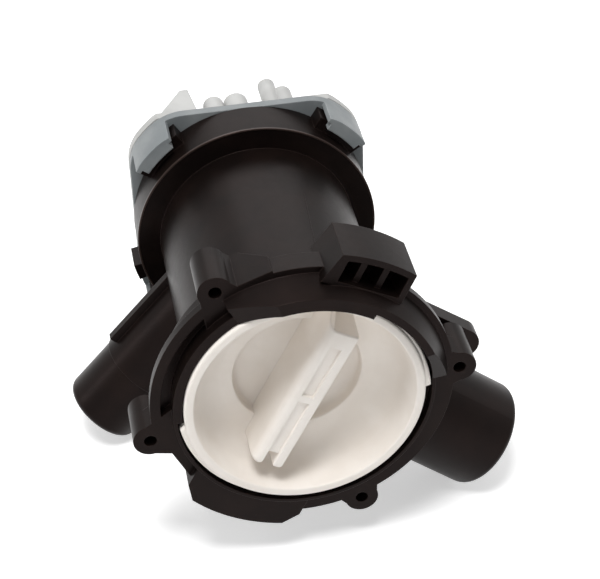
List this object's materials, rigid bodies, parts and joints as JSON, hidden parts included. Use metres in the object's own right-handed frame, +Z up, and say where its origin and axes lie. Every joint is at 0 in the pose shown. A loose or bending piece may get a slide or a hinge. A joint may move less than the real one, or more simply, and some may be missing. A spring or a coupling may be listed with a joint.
{
  "type": "drain pump",
  "caption": "Appliance drain pump: round filter housing with a twist-off cap, two hose pipes and a motor clipped on behind.",
  "frame": {"origin": "under the middle of the pump's bounding box, on the surface that it lies on", "axes": "+Z up, -Y the way the filter cap faces, +Y towards the motor"},
  "size_m": [0.129, 0.1528, 0.1039],
  "materials": {
    "housing": "black moulded plastic, semi-gloss",
    "cap": "warm white moulded plastic, satin",
    "plate": "blue-grey moulded plastic",
    "base": "pale grey moulded plastic",
    "seal_rubber": "black rubber",
    "lamination": "stacked electrical steel",
    "bobbin": "natural nylon",
    "copper": "enamelled copper wire, wound",
    "coil_wrap": "black winding cover",
    "rivet_steel": "bright steel",
    "blade_metal": "tinned brass",
    "shaft_steel": "ground steel",
    "bearing": "sintered bronze",
    "magnet": "ferrite",
    "rotor_plastic": "moulded plastic"
  },
  "bodies": {
    "pump": {"housing_front": "housing", "filter_chamber": "housing", "pump_chamber": "housing", "motor_plate": "plate", "plate_seal": "seal_rubber", "motor_base": "base", "stator_core": "lamination", "terminal_block": "bobbin", "bearing_holder": "plate", "shaft_seal": "seal_rubber", "front_bearing": "bearing", "rear_mount": "seal_rubber", "rear_bearing": "bearing", "coil_bobbin_left": "bobbin", "coil_bobbin_right": "bobbin", "coil_winding_left": "copper", "coil_winding_right": "copper", "coil_cover_left": "coil_wrap", "coil_cover_right": "coil_wrap", "core_rivet_1": "rivet_steel", "core_rivet_2": "rivet_steel", "core_rivet_3": "rivet_steel", "core_rivet_4": "rivet_steel", "terminal_blade_1": "blade_metal", "terminal_blade_2": "blade_metal"},
    "cap": {"filter_cap": "cap", "cap_seal": "seal_rubber", "filter_basket": "cap"},
    "rotor": {"rotor_shaft": "shaft_steel", "magnet_carrier": "rotor_plastic", "rotor_magnet": "magnet", "drive_dog": "rotor_plastic", "thrust_washer": "rotor_plastic", "impeller_clip": "shaft_steel"},
    "impeller": {"impeller": "rotor_plastic", "impeller_cover": "rotor_plastic"}
  },
  "joints": [
    {"name": "cap_turn", "type": "hinge", "parent": "pump", "child": "cap", "pos_m": [-0.00213, -0.07085, 0.0564], "axis": [0, -1, 0], "range_deg": [0, 55]},
    {"name": "rotor_spin", "type": "hinge", "parent": "pump", "child": "rotor", "pos_m": [-0.00213, 0.00915, 0.0564], "axis": [0, 1, 0], "continuous": true},
    {"name": "impeller_play", "type": "hinge", "parent": "rotor", "child": "impeller", "pos_m": [-0.00213, -0.00085, 0.0564], "axis": [0, 1, 0], "range_deg": [0, 174]}
  ]
}
